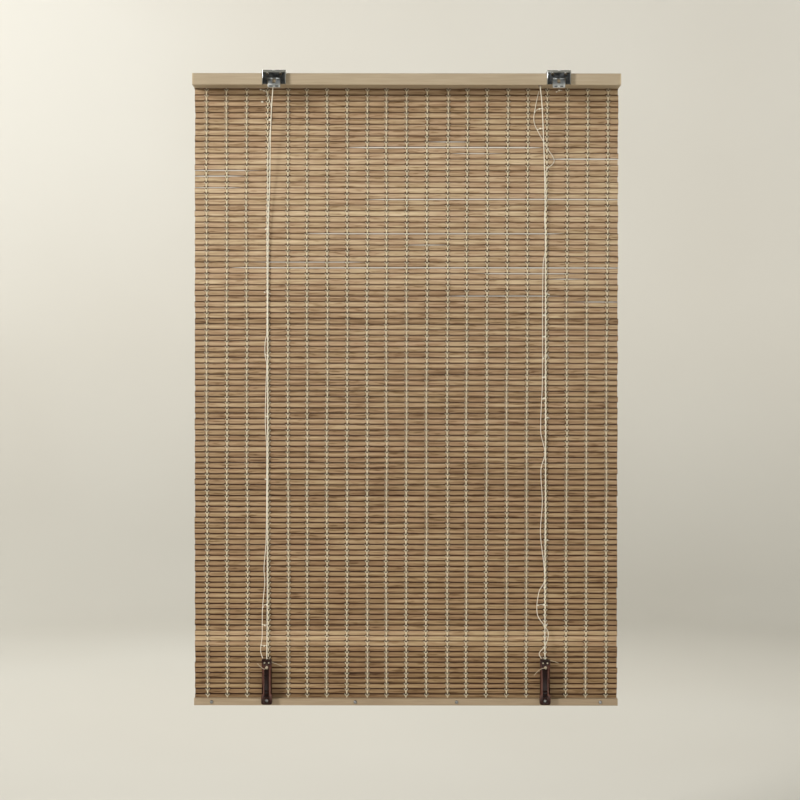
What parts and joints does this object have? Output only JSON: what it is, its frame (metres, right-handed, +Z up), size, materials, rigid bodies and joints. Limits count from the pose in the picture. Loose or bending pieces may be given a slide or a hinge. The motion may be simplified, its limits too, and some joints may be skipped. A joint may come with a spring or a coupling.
{
  "type": "bamboo roman shade",
  "caption": "Woven split-bamboo roman shade on a spring-lift headrail, with snap-in brackets, ladder lift cords and a screwed bottom rail carrying cord locks.",
  "frame": {"origin": "middle of the headrail's length, on the wall plane behind the brackets and the lintel plane on top of them", "axes": "+X along the headrail, +Y out of the wall into the room, +Z up"},
  "size_m": [0.61, 0.0455, 0.9085],
  "materials": {
    "rail_paint": "satin tan paint",
    "rail_wood": "satin tan paint on wood",
    "zinc": "zinc plated",
    "spring_steel": "bright spring steel",
    "bamboo": "dry split bamboo",
    "cotton": "twisted cotton",
    "lock_plastic": "glossy moulded",
    "pale_plastic": "moulded",
    "grey_plastic": "moulded",
    "dark_plastic": "moulded",
    "tape": "hook tape"
  },
  "bodies": {
    "head": {"headrail": "rail_paint", "end_cap_left": "rail_paint", "end_cap_right": "rail_paint", "bracket_left": "zinc", "bracket_right": "zinc", "bracket_clip_left": "spring_steel", "bracket_clip_right": "spring_steel", "eyelet_left": "grey_plastic", "eyelet_right": "grey_plastic", "cradle_left": "pale_plastic", "cradle_right": "pale_plastic", "pulley_pin_left": "zinc", "pulley_pin_right": "zinc", "motor_base": "dark_plastic", "motor_top": "dark_plastic", "spring_band": "spring_steel", "hook_tape": "tape", "slat_mat": "bamboo", "warps_back": "cotton", "warps_front": "cotton", "lift_cord_left": "cotton", "lift_cord_right": "cotton", "ladder_cord_left": "cotton", "ladder_cord_right": "cotton"},
    "rail": {"bottom_rail": "rail_wood", "front_batten": "rail_wood", "rail_screws": "zinc", "cord_lock_left": "lock_plastic", "cord_lock_right": "lock_plastic", "lock_screw_left": "zinc", "lock_screw_right": "zinc"},
    "left_spool": {"spool_left": "pale_plastic"},
    "right_spool": {"spool_right": "pale_plastic"},
    "output": {"output_drum": "pale_plastic"},
    "storage": {"storage_drum": "pale_plastic"},
    "idler": {"idler_gear": "pale_plastic"},
    "left_pulley": {"pulley_left": "pale_plastic"},
    "right_pulley": {"pulley_right": "pale_plastic"}
  },
  "joints": [
    {"name": "lift", "type": "slide", "parent": "head", "child": "rail", "axis": [0, 0, 1], "range_m": [0, 0.72], "deforming": ["slat_mat", "warps_back", "warps_front", "lift_cord_left", "lift_cord_right", "ladder_cord_left", "ladder_cord_right"]},
    {"name": "left_spool_turn", "type": "hinge", "parent": "head", "child": "left_spool", "pos_m": [-0.03766, 0.022, -0.0103], "axis": [0, 0, 1], "range_deg": [0, 4619]},
    {"name": "output_turn", "type": "hinge", "parent": "head", "child": "output", "pos_m": [-0.01255, 0.022, -0.0103], "axis": [0, 0, 1], "range_deg": [-4619, 0]},
    {"name": "idler_turn", "type": "hinge", "parent": "head", "child": "idler", "pos_m": [0.01255, 0.022, -0.0158], "axis": [0, 0, 1], "range_deg": [0, 4619]},
    {"name": "storage_turn", "type": "hinge", "parent": "head", "child": "storage", "pos_m": [0.01255, 0.022, -0.0103], "axis": [0, 0, 1], "range_deg": [0, 4619]},
    {"name": "right_spool_turn", "type": "hinge", "parent": "head", "child": "right_spool", "pos_m": [0.03766, 0.022, -0.0103], "axis": [0, 0, 1], "range_deg": [-4619, 0]},
    {"name": "left_pulley_turn", "type": "hinge", "parent": "head", "child": "left_pulley", "pos_m": [-0.1873, 0.01305, -0.01345], "axis": [0, 1, 0], "range_deg": [0, 12902]},
    {"name": "right_pulley_turn", "type": "hinge", "parent": "head", "child": "right_pulley", "pos_m": [0.1873, 0.01305, -0.01345], "axis": [0, 1, 0], "range_deg": [-12902, 0]}
  ],
  "couplings": [
    {"joint": "left_spool_turn", "follows": "lift", "rad_per_m": 111.73},
    {"joint": "output_turn", "follows": "lift", "rad_per_m": -111.73},
    {"joint": "idler_turn", "follows": "lift", "rad_per_m": 111.73},
    {"joint": "storage_turn", "follows": "lift", "rad_per_m": 111.73},
    {"joint": "right_spool_turn", "follows": "lift", "rad_per_m": -111.73},
    {"joint": "left_pulley_turn", "follows": "lift", "rad_per_m": 312.5},
    {"joint": "right_pulley_turn", "follows": "lift", "rad_per_m": -312.5}
  ]
}
